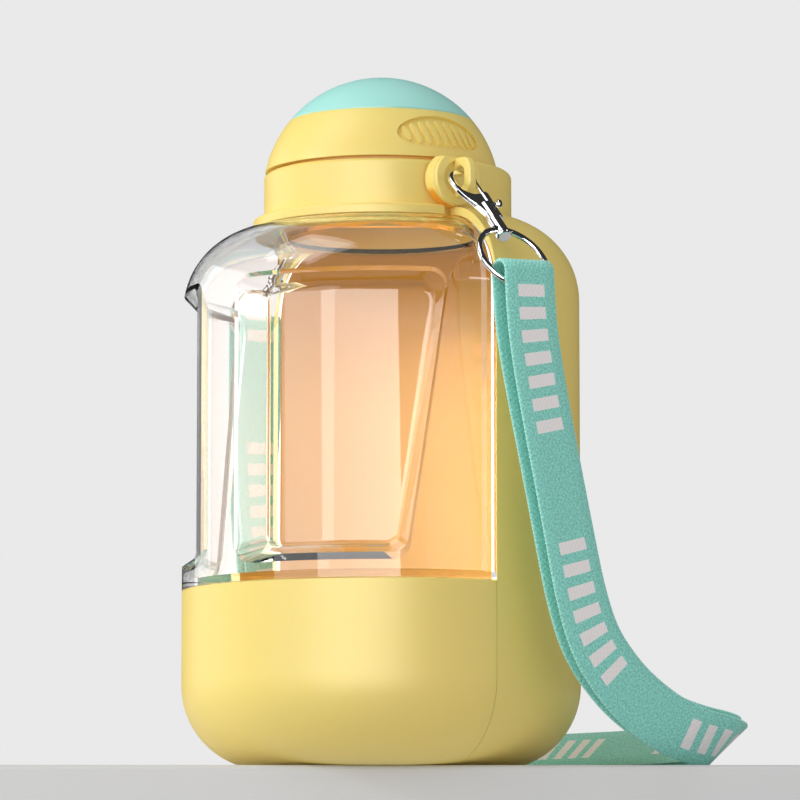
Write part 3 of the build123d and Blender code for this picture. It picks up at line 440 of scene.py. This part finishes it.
def hollow_side():
    """Where a face looks at the bottle's middle, and how far up it lies."""
    group, given, result = new_group(
        "hollow_side",
        [("Centre", "NodeSocketVector", HOLLOW_CENTRE), ("Low", "NodeSocketFloat", PAINTED_GLOW_LOW),
         ("High", "NodeSocketFloat", PAINTED_GLOW_HIGH)],
        [("Inside", "NodeSocketFloat"), ("Rise", "NodeSocketFloat")],
    )
    add, join = group.nodes.new, group.links.new
    place = add("ShaderNodeTexCoord")
    away, unit, facing = (add("ShaderNodeVectorMath") for _ in range(3))
    away.operation, unit.operation, facing.operation = "SUBTRACT", "NORMALIZE", "DOT_PRODUCT"
    join(place.outputs["Object"], away.inputs[0])
    join(given.outputs["Centre"], away.inputs[1])
    join(away.outputs["Vector"], unit.inputs[0])
    join(unit.outputs["Vector"], facing.inputs[0])
    join(place.outputs["Normal"], facing.inputs[1])
    inside = add("ShaderNodeMapRange")
    inside.inputs["From Min"].default_value = FACING_START
    inside.inputs["From Max"].default_value = FACING_FULL
    join(facing.outputs["Value"], inside.inputs["Value"])
    parts = add("ShaderNodeSeparateXYZ")
    join(place.outputs["Object"], parts.inputs["Vector"])
    rise = add("ShaderNodeMapRange")
    join(parts.outputs["Z"], rise.inputs["Value"])
    join(given.outputs["Low"], rise.inputs["From Min"])
    join(given.outputs["High"], rise.inputs["From Max"])
    join(inside.outputs["Result"], result.inputs["Inside"])
    join(rise.outputs["Result"], result.inputs["Rise"])
    return group


painted_glow_shell, shader = satin_plastic("butter_yellow_painted_glow", YELLOW, YELLOW_SCATTER)
tree = painted_glow_shell.node_tree
hollow = tree.nodes.new("ShaderNodeGroup")
hollow.node_tree = hollow_side()
# Painted light: the amber colour and the glow on the hollow side stand in for light through the wall.
painted_glow_colour = blend_colour(tree, hollow.outputs["Rise"], PAINTED_GLOW_AMBER, PAINTED_DEEP_GLOW_AMBER)
tree.links.new(blend_colour(tree, hollow.outputs["Inside"], YELLOW, painted_glow_colour), shader.inputs["Base Color"])
tree.links.new(painted_glow_colour, shader.inputs["Emission Color"])
painted_glow_strength = maths(tree, "MULTIPLY", hollow.outputs["Inside"], PAINTED_GLOW_SHARE)
tree.links.new(painted_glow_strength, shader.inputs["Emission Strength"])
wear("trough", painted_glow_shell)
print("trough: amber deepens from", PAINTED_GLOW_LOW, "to", PAINTED_GLOW_HIGH, "m up")

# %% [markdown]
# ## The clear tank
# Clear copolyester is thin here and bends light little. Its wall is a real shell with an inner and an
# outer face, so a plain transmission shader gives the doubled lines of the grip pockets by itself, and a
# clear coat on the open front half carries the bright reflections of lamps and boards. Light that only
# casts a shadow goes straight through, since a path tracer can't find its bent way to the lamp, and
# without this the yellow shell behind the tank would be in the dark.

# %% Clear finish
COAT_END = -0.0015
TANK_IOR, COAT_IOR = 1.16, 1.6
SHADOW_TINT = (0.88, 0.88, 0.88, 1.0)
clear, shader = new_material("clear_tank", CLEAR, Roughness=0.0, IOR=TANK_IOR, Coat_Roughness=0.0,
                             Coat_IOR=COAT_IOR)
shader.inputs["Transmission Weight"].default_value = 1.0
tree = clear.node_tree
place, parts = tree.nodes.new("ShaderNodeTexCoord"), tree.nodes.new("ShaderNodeSeparateXYZ")
tree.links.new(place.outputs["Object"], parts.inputs["Vector"])
tree.links.new(maths(tree, "LESS_THAN", parts.outputs["Y"], COAT_END), shader.inputs["Coat Weight"])
ray, open_way = tree.nodes.new("ShaderNodeLightPath"), tree.nodes.new("ShaderNodeBsdfTransparent")
open_way.inputs["Color"].default_value = SHADOW_TINT
pick = tree.nodes.new("ShaderNodeMixShader")
tree.links.new(ray.outputs["Is Shadow Ray"], pick.inputs["Fac"])
tree.links.new(shader.outputs["BSDF"], pick.inputs[1])
tree.links.new(open_way.outputs["BSDF"], pick.inputs[2])
tree.links.new(pick.outputs["Shader"], tree.nodes["Material Output"].inputs["Surface"])
wear("tank", clear)
print("tank: IOR", TANK_IOR, "and a coat where Y is under", COAT_END, "m")

# %% [markdown]
# ## Metal and rubber
# The hooks, swivels and rings are zinc and wire with a bright chrome plate. The springs are bare wire,
# and the seals are pale silicone rubber.

# %% Metal and rubber finishes
chrome, _ = new_material("bright_chrome", (0.90, 0.90, 0.91), Metallic=1.0, Roughness=0.05)
wire, _ = new_material("spring_wire", (0.62, 0.62, 0.63), Metallic=1.0, Roughness=0.28)
rubber, _ = new_material("pale_rubber", (0.75, 0.77, 0.75), Roughness=0.6)
for node in nodes:
    if node.startswith(("hook_", "strap_ring")):
        wear(node, chrome)
    if "spring" in node:
        wear(node, wire)
    if node.endswith(("seal", "gasket", "washer")):
        wear(node, rubber)
worn = [o.data.materials[0] for o in nodes.values()]
print("chrome", worn.count(chrome), "spring wire", worn.count(wire), "rubber", worn.count(rubber))

# %% [markdown]
# ## Webbing
# Narrow polyester webbing is a fine plain weave. Two waves on the strap's UV map, one along and one
# across, give the little hills where a yarn comes to the front, and a speckle of slightly lighter and
# darker yarns gives the heathered look. Rows of plain pale bars are printed on the face side.

# %% The weave as a node group
YARN = 0.0009
YARN_SLANT = 0.3
SPECKLE = 1500.0
PRINT_START = 0.004
PRINT_GROUPS = 13
PRINT_LONG = 0.045
BAR_PITCH = 0.0066
BAR_LONG = 0.0036
BAR_WIDE = 0.0094
loop_ends = [loop.uv.x for loop in strap.data.uv_layers["web"].data]
PRINT_PERIOD = max(loop_ends) / PRINT_GROUPS


def woven():
    """The weave's hills, its speckle, and where the print's bars are, from the strap's UV map."""
    group, given, result = new_group(
        "woven",
        [("Web", "NodeSocketVector", None), ("Yarn", "NodeSocketFloat", YARN),
         ("Speckle", "NodeSocketFloat", SPECKLE), ("Print Start", "NodeSocketFloat", PRINT_START),
         ("Print Period", "NodeSocketFloat", PRINT_PERIOD), ("Print Long", "NodeSocketFloat", PRINT_LONG),
         ("Bar Pitch", "NodeSocketFloat", BAR_PITCH), ("Bar Long", "NodeSocketFloat", BAR_LONG),
         ("Bar Wide", "NodeSocketFloat", BAR_WIDE)],
        [("Hills", "NodeSocketFloat"), ("Mottle", "NodeSocketFloat"), ("Bars", "NodeSocketFloat")],
    )
    add, join = group.nodes.new, group.links.new
    parts = add("ShaderNodeSeparateXYZ")
    join(given.outputs["Web"], parts.inputs["Vector"])
    u, v = parts.outputs["X"], parts.outputs["Y"]
    half_turns = maths(group, "DIVIDE", math.pi, given.outputs["Yarn"])
    across = maths(group, "SINE", maths(group, "MULTIPLY", v, half_turns))
    lean = maths(group, "ADD", u, maths(group, "MULTIPLY", v, YARN_SLANT))
    along = maths(group, "SINE", maths(group, "MULTIPLY", lean, half_turns))
    join(maths(group, "MULTIPLY", across, along), result.inputs["Hills"])
    speckle = add("ShaderNodeTexNoise")
    join(given.outputs["Web"], speckle.inputs["Vector"])
    join(given.outputs["Speckle"], speckle.inputs["Scale"])
    join(speckle.outputs["Fac"], result.inputs["Mottle"])
    since = maths(group, "SUBTRACT", u, given.outputs["Print Start"])
    turn = maths(group, "FLOORED_MODULO", since, given.outputs["Print Period"])
    in_print = maths(group, "LESS_THAN", turn, given.outputs["Print Long"])
    step = maths(group, "FLOORED_MODULO", turn, given.outputs["Bar Pitch"])
    in_bar = maths(group, "LESS_THAN", step, given.outputs["Bar Long"])
    reach = maths(group, "MULTIPLY", given.outputs["Bar Wide"], 0.5)
    in_width = maths(group, "LESS_THAN", maths(group, "ABSOLUTE", v), reach)
    bars = maths(group, "MULTIPLY", maths(group, "MULTIPLY", in_print, in_bar), in_width)
    join(bars, result.inputs["Bars"])
    return group


weave_group = woven()
print("print: bars of", BAR_LONG, "by", BAR_WIDE, "m in groups", PRINT_LONG, "m long")

# %% [markdown]
# The weave's hills are far finer than the mesh, so they are a bump. The webbing scatters light off many
# small fibres, and a little sheen gives the soft bright rim of cloth.

# %% Webbing finish
WEB_ROUGH, WEB_SHEEN = 0.85, 0.25
HILL_HIGH, HILL_SHARE = 0.00012, 0.6
MOTTLE_LOW, MOTTLE_HIGH = 0.35, 0.65
YARN_DARKER, YARN_LIGHTER, YARN_LIFT = 0.82, 1.16, 0.03
webbing, shader = new_material("mint_webbing", WEB_MINT, Roughness=WEB_ROUGH, Sheen_Weight=WEB_SHEEN)
tree = webbing.node_tree
place = tree.nodes.new("ShaderNodeUVMap")
place.uv_map = "web"
weave = tree.nodes.new("ShaderNodeGroup")
weave.node_tree = weave_group
tree.links.new(place.outputs["UV"], weave.inputs["Web"])
bump = tree.nodes.new("ShaderNodeBump")
bump.inputs["Distance"].default_value = HILL_HIGH
bump.inputs["Strength"].default_value = HILL_SHARE
tree.links.new(weave.outputs["Hills"], bump.inputs["Height"])
tree.links.new(bump.outputs["Normal"], shader.inputs["Normal"])
mottle = tree.nodes.new("ShaderNodeMapRange")
mottle.inputs["From Min"].default_value = MOTTLE_LOW
mottle.inputs["From Max"].default_value = MOTTLE_HIGH
tree.links.new(weave.outputs["Mottle"], mottle.inputs["Value"])
dark_yarn = tuple(YARN_DARKER * c for c in WEB_MINT)
light_yarn = tuple(min(1.0, YARN_LIGHTER * c + YARN_LIFT) for c in WEB_MINT)
yarns = blend_colour(tree, mottle.outputs["Result"], dark_yarn, light_yarn)
tree.links.new(blend_colour(tree, weave.outputs["Bars"], yarns, PRINT_PALE), shader.inputs["Base Color"])
strap.data.materials.append(webbing)
print("webbing: yarns", YARN, "m apart, hills", HILL_HIGH, "m high")

# %% [markdown]
# ## Selvage and seam
# Two things repeat along the strap: the loops of yarn at both woven edges, and the stitches of the seam
# that closes the loop, which lies behind the bottle. One Geometry Nodes tree makes both. It takes guide
# lines, walks along them with a fixed pitch, and puts a small capsule of yarn at each step. Its inputs
# are the pitch, the yarn's radius and how much of the pitch a stitch fills.

# %% The yarn row tree
STITCH_SIDES, STITCH_RINGS = 6, 4


def yarn_row_tree(name, material):
    """Capsules of yarn along guide lines; pitch, radius and fill are its inputs."""
    group = bpy.data.node_groups.new(name, "GeometryNodeTree")
    group.is_modifier = True
    sockets = group.interface.new_socket
    sockets("Guides", in_out="INPUT", socket_type="NodeSocketGeometry")
    for label, value in (("Pitch", 0.0012), ("Yarn Radius", 0.0003), ("Fill", 0.9)):
        sockets(label, in_out="INPUT", socket_type="NodeSocketFloat").default_value = value
    sockets("Rows", in_out="OUTPUT", socket_type="NodeSocketGeometry")
    add, join = group.nodes.new, group.links.new
    given, result = add("NodeGroupInput"), add("NodeGroupOutput")
    line_of, steps = add("GeometryNodeMeshToCurve"), add("GeometryNodeCurveToPoints")
    steps.mode = "LENGTH"
    join(given.outputs["Guides"], line_of.inputs["Mesh"])
    join(line_of.outputs["Curve"], steps.inputs["Curve"])
    join(given.outputs["Pitch"], steps.inputs["Length"])
    ball, size = add("GeometryNodeMeshUVSphere"), add("ShaderNodeCombineXYZ")
    ball.inputs["Segments"].default_value = STITCH_SIDES
    ball.inputs["Rings"].default_value = STITCH_RINGS
    ball.inputs["Radius"].default_value = 1.0
    filled, half_long = add("ShaderNodeMath"), add("ShaderNodeMath")
    filled.operation = half_long.operation = "MULTIPLY"
    half_long.inputs[1].default_value = 0.5
    join(given.outputs["Pitch"], filled.inputs[0])
    join(given.outputs["Fill"], filled.inputs[1])
    join(filled.outputs["Value"], half_long.inputs[0])
    join(given.outputs["Yarn Radius"], size.inputs["X"])
    join(given.outputs["Yarn Radius"], size.inputs["Y"])
    join(half_long.outputs["Value"], size.inputs["Z"])
    put, real, paint = (add("GeometryNode" + kind) for kind in
                        ("InstanceOnPoints", "RealizeInstances", "SetMaterial"))
    join(steps.outputs["Points"], put.inputs["Points"])
    join(ball.outputs["Mesh"], put.inputs["Instance"])
    join(steps.outputs["Rotation"], put.inputs["Rotation"])
    join(size.outputs["Vector"], put.inputs["Scale"])
    join(put.outputs["Instances"], real.inputs["Geometry"])
    join(real.outputs["Geometry"], paint.inputs["Geometry"])
    paint.inputs["Material"].default_value = material
    join(paint.outputs["Geometry"], result.inputs["Rows"])
    return group


print("each stitch:", STITCH_SIDES, "sides and", STITCH_RINGS, "rings")

# %% [markdown]
# A modifier runs the tree. Its inputs are set by the socket's identifier before the object is first
# evaluated. The result is then kept as a plain mesh, and the modifier goes, so that nothing live is left.

# %% Guide lines, and the rows grown on them
def guide_lines(name, lines):
    """An object of bare edges: each line is a list of places."""
    verts, edges = [], []
    for places in lines:
        edges += [(len(verts) + k, len(verts) + k + 1) for k in range(len(places) - 1)]
        verts += places
    mesh = bpy.data.meshes.new(name)
    mesh.from_pydata(verts, edges, [])
    obj = bpy.data.objects.new(name, mesh)
    bpy.context.scene.collection.objects.link(obj)
    return obj


def grow_rows(obj, group, values):
    """Runs the tree on an object's guide lines and keeps its result as a plain mesh."""
    modifier = obj.modifiers.new("rows", "NODES")
    modifier.node_group = group
    for item in group.interface.items_tree:
        if item.in_out == "INPUT" and item.name in values:
            modifier[item.identifier] = values[item.name]
    graph = bpy.context.evaluated_depsgraph_get()
    mesh = bpy.data.meshes.new_from_object(obj.evaluated_get(graph), depsgraph=graph)
    obj.modifiers.clear()
    obj.data = mesh
    mesh.polygons.foreach_set("use_smooth", [True] * len(mesh.polygons))
    print(obj.name, len(mesh.polygons), "faces")
    return obj


print("rows are grown from guide lines")

# %% [markdown]
# The selvage is the woven edge of a narrow cloth, where the weft yarn turns back. Its small loops give
# the strap a soft outline, and they are real geometry, because an outline can't come from a bump. Their
# yarn is paler than the webbing, a painted highlight along both edges.

# %% Yarn loops along both edges
SELVAGE_PITCH = 0.0011
SELVAGE_R = 0.00036
SELVAGE_FILL = 0.95

# Painted highlight: the selvage yarn is paler than the webbing, to brighten the strap's edges.
selvage_yarn_painted_highlight, _ = new_material("selvage_yarn_painted_highlight", (0.48, 0.84, 0.75), Roughness=0.8)
edge_lines = []
for side in (-1, 1):
    places = [c + across * (side * (WEB_WIDE / 2 - SELVAGE_R / 2)) for c, across, out in stations]
    edge_lines.append(places + places[:1])
selvage = grow_rows(guide_lines("strap_selvage", edge_lines), yarn_row_tree("yarn_row", selvage_yarn_painted_highlight),
                    {"Pitch": SELVAGE_PITCH, "Yarn Radius": SELVAGE_R, "Fill": SELVAGE_FILL})

# %% [markdown]
# The loop of webbing is closed by a sewn seam, here three rows of stitches straight across the band. It
# lies behind the bottle. The same tree makes it, with a longer pitch and a thinner thread.

# %% The seam behind the bottle
SEAM_PITCH = 0.0021
SEAM_R = 0.00022
SEAM_FILL = 0.85
SEAM_STATION = 165
SEAM_ROWS = (-2, 0, 2)
SEAM_INSET = 0.0018

seam_thread, _ = new_material("seam_thread", (0.30, 0.70, 0.60), Roughness=0.6)
seam_lines = []
for row in SEAM_ROWS:
    c, across, out = stations[SEAM_STATION + row]
    top = c + out * (WEB_THICK / 2)
    reach = WEB_WIDE / 2 - SEAM_INSET
    seam_lines.append([top - across * reach, top, top + across * reach])
seam = grow_rows(guide_lines("strap_seam", seam_lines), yarn_row_tree("seam_row", seam_thread),
                 {"Pitch": SEAM_PITCH, "Yarn Radius": SEAM_R, "Fill": SEAM_FILL})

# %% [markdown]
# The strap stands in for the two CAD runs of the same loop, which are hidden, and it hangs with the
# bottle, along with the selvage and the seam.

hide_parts("strap_outer_run", "strap_inner_run")
for piece in (strap, selvage, seam):
    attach(piece, "bottle")

# %% [markdown]
# ## The slab
# The bottle stands near the front edge of a pale slab, in front of an even light grey backdrop. The slab
# is a plain box with eased edges, turned to the camera, so that its front edge is level in the picture.

# %% Slab
SLAB_REACH = 3.0
SLAB_FRONT = -0.036
SLAB_DEEP = 0.6
SLAB_EASE = 0.0012


def make_slab():
    """A box whose front edge faces the camera."""
    front, back = to_back * SLAB_FRONT, to_back * SLAB_REACH
    side = to_right * SLAB_REACH
    top = [front - side, front + side, back + side, back - side]
    verts = top + [p - up * SLAB_DEEP for p in top]
    faces = [(0, 1, 2, 3), (7, 6, 5, 4), (0, 4, 5, 1), (1, 5, 6, 2), (2, 6, 7, 3), (3, 7, 4, 0)]
    mesh = bpy.data.meshes.new("slab")
    mesh.from_pydata(verts, [], faces)
    slab = bpy.data.objects.new("slab", mesh)
    bpy.context.scene.collection.objects.link(slab)
    edges = slab.modifiers.new("eased_edges", "BEVEL")
    edges.width = SLAB_EASE
    edges.segments = 3
    return slab


slab = make_slab()
stone, _ = new_material("pale_slab", (0.62, 0.62, 0.62), Roughness=0.55)
slab.data.materials.append(stone)
print("slab front", -SLAB_FRONT, "m before the bottle's middle")

# %% [markdown]
# ## Lamps
# A window sized lamp on the left front models the round body and mirrors in the grip pocket. A wall of
# light far left brightens the tank's left edge, an overhead lamp lights the lid, and a low sun from the
# left draws the crisp shadows. Large lamps give soft shadows, and only the sun is small.

# %% Lamps
LAMP_AIM = Vector((0, 0, 0.1))
LAMPS = [
    ("window", (-0.72, -0.69, 0.26), 1.5, 0.9, 5.4, "AREA"),
    ("side_wall", (-0.93, 0.36, 0.12), 1.3, 1.1, 4.5, "AREA"),
    ("overhead", (-0.5, -0.2, 0.85), 1.6, 0.9, 5.5, "AREA"),
    ("low_sun", (-0.9, -0.25, 0.42), 3.0, math.radians(2.0), 0.55, "SUN"),
]


def toward(right, back, high):
    """The unit way to a lamp, given as shares to the right, to the back and up."""
    return (to_right * right + to_back * back + up * high).normalized()


def lamp(name, way, distance, size, power, kind):
    """A lamp that looks at the middle of the bottle; size is in metres, or the sun's angle."""
    data = bpy.data.lights.new(name, kind)
    data.energy = power
    if kind == "AREA":
        data.size = size
    else:
        data.angle = size
    obj = bpy.data.objects.new(name, data)
    bpy.context.scene.collection.objects.link(obj)
    obj.location = LAMP_AIM + way * distance
    obj.rotation_euler = (-way).to_track_quat("-Z", "Y").to_euler()
    return obj


for name, way, distance, size, power, kind in LAMPS:
    lamp(name, toward(*way), distance, size, power, kind)
print("lamps:", [name for name, *_ in LAMPS])

# %% [markdown]
# ## Boards that only reflections see
# A white board at the front left lies as a pale veil in the floor of the grip pocket. That floor is
# round, so it squeezes the board to a narrow strip. A small board on the right draws a bright line along
# the chrome. Both are outside the picture, and neither casts a shadow nor adds light.

# %% Boards
BOARD_AIM = Vector((0, 0, 0.15))
BOARD_AWAY = 1.0
BOARD_GLOW = 4.6
BOARD_TINT = (1.0, 0.97, 0.94, 1.0)
VEIL_WAY, LINE_WAY = (-0.22, -0.97, 0.035), (0.9, -0.55, 0.25)
VEIL_WIDE, VEIL_TALL = 0.84, 0.72
VEIL_LEAN = math.radians(10.0)
LINE_SIZE = 0.22


def board(name, way, wide, tall, lean, material):
    """A lit board that faces the bottle; lean lifts the end on the camera's right, in radians."""
    centre = BOARD_AIM + way * BOARD_AWAY
    level = way.cross(up).normalized()
    upright = level.cross(way).normalized()
    side = (level * math.cos(lean) - upright * math.sin(lean)) * (wide / 2)
    high = (upright * math.cos(lean) + level * math.sin(lean)) * (tall / 2)
    mesh = bpy.data.meshes.new(name)
    mesh.from_pydata([centre - side - high, centre + side - high, centre + side + high,
                      centre - side + high], [], [(0, 1, 2, 3)])
    obj = bpy.data.objects.new(name, mesh)
    bpy.context.scene.collection.objects.link(obj)
    obj.data.materials.append(material)
    obj.visible_camera = obj.visible_diffuse = obj.visible_shadow = False
    obj.visible_transmission = False
    return obj


white, shader = new_material("white_board", (1.0, 1.0, 1.0), Emission_Strength=BOARD_GLOW)
shader.inputs["Emission Color"].default_value = BOARD_TINT
board("board_veil", toward(*VEIL_WAY), VEIL_WIDE, VEIL_TALL, VEIL_LEAN, white)
board("board_line", toward(*LINE_WAY), LINE_SIZE, LINE_SIZE, 0.0, white)

# %% [markdown]
# ## The room
# The pale room fills the shadows. What a ray meets at the end depends on its kind: a look straight past
# the bottle meets the grey backdrop, a look through the tank meets it brighter, and a mirror image meets
# a dark room, so that only the lamps and boards shine in chrome and glass.

# %% Room
ROOM_LIGHT = 0.62
ROOM_MIRRORED = 0.035
BACKDROP = 0.82
BACKDROP_THROUGH_TANK = 1.0

world = bpy.data.worlds.new("room")
bpy.context.scene.world = world
world.use_nodes = True
tree = world.node_tree
room = tree.nodes["Background"]
backdrop = tree.nodes.new("ShaderNodeBackground")
seen = tree.nodes.new("ShaderNodeLightPath")
behind = blend_colour(tree, seen.outputs["Is Transmission Ray"], (BACKDROP,) * 3,
                      (BACKDROP_THROUGH_TANK,) * 3)
tree.links.new(behind, backdrop.inputs["Color"])
shade = blend_colour(tree, seen.outputs["Is Glossy Ray"], (ROOM_LIGHT,) * 3, (ROOM_MIRRORED,) * 3)
tree.links.new(shade, room.inputs["Color"])
straight = maths(tree, "MAXIMUM", seen.outputs["Is Camera Ray"], seen.outputs["Is Transmission Ray"])
mix = tree.nodes.new("ShaderNodeMixShader")
tree.links.new(straight, mix.inputs["Fac"])
tree.links.new(room.outputs["Background"], mix.inputs[1])
tree.links.new(backdrop.outputs["Background"], mix.inputs[2])
tree.links.new(mix.outputs["Shader"], tree.nodes["World Output"].inputs["Surface"])
bpy.context.scene.view_settings.view_transform = "Standard"
print("backdrop", BACKDROP, "through the tank", BACKDROP_THROUGH_TANK, "room light", ROOM_LIGHT)
